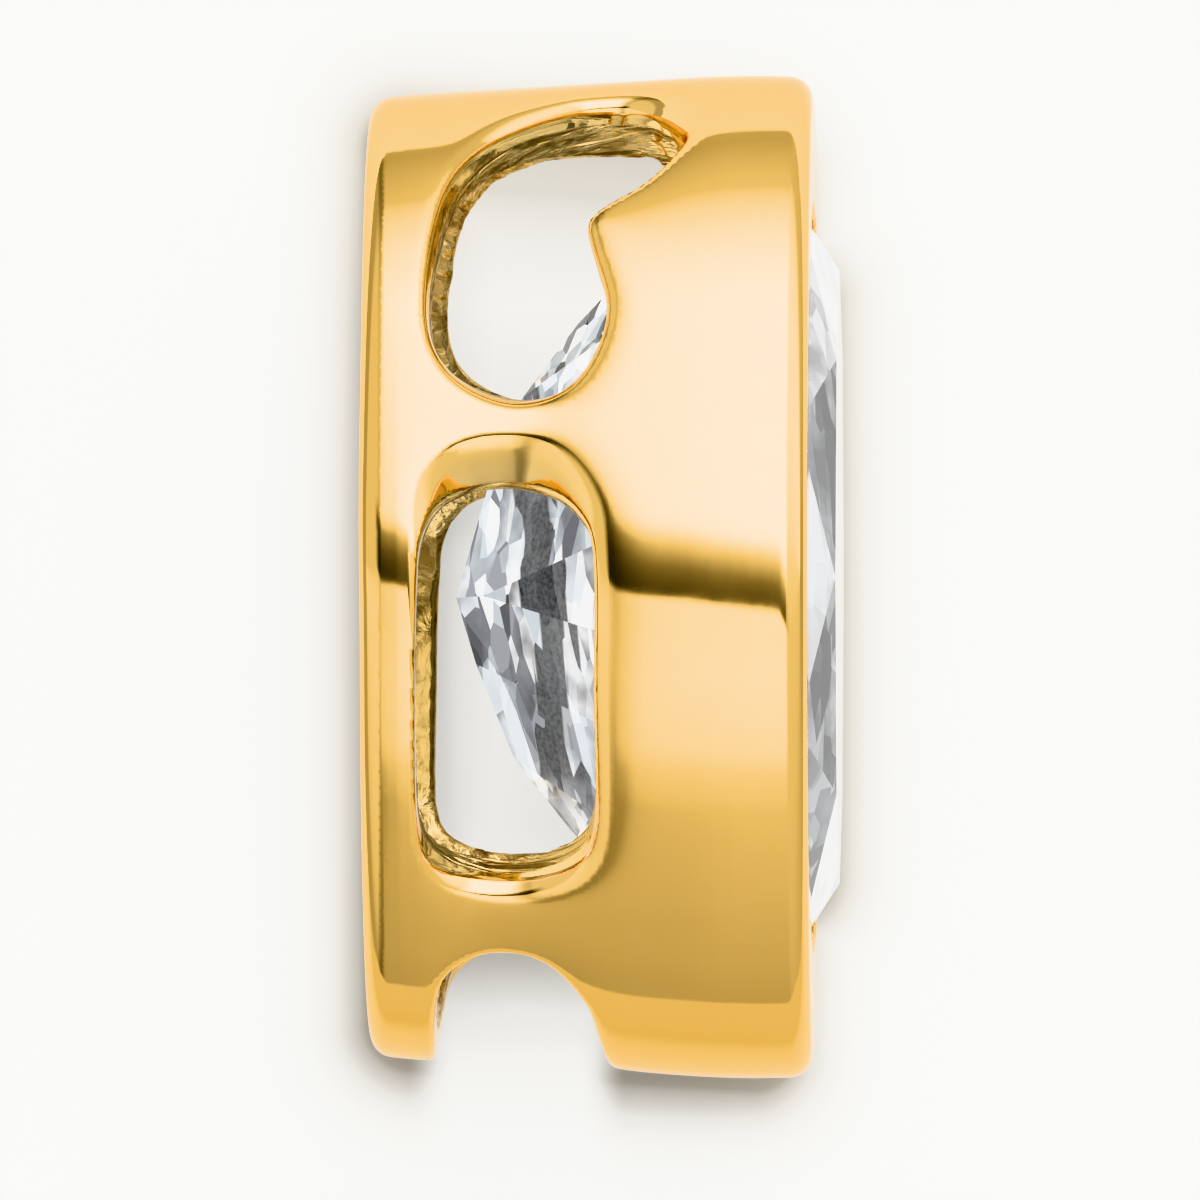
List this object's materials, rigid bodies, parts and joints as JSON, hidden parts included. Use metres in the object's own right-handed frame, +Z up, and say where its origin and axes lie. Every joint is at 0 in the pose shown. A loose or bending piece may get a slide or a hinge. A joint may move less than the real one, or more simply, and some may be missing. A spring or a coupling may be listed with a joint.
{
  "type": "slide pendant",
  "caption": "Oval faceted clear stone held in a cast gold slide setting, whose pierced gallery windows let a chain run through behind the stone.",
  "frame": {"origin": "centre of the pendant's bounding box at the level of the surface that it lies on", "axes": "+X the way the stone faces, leaning up by the wall's taper of 3.4 degrees; +Y to 12 o'clock, the end with the leaf-shaped windows; +Z up from the surface, to the side that shows"},
  "size_m": [0.0058, 0.0116, 0.0097],
  "materials": {
    "gold": "polished, with a rough cast surface inside the windows and the bore",
    "stone": "clear, faceted and polished"
  },
  "bodies": {
    "root": {"setting": "gold", "stone": "stone"}
  },
  "joints": []
}
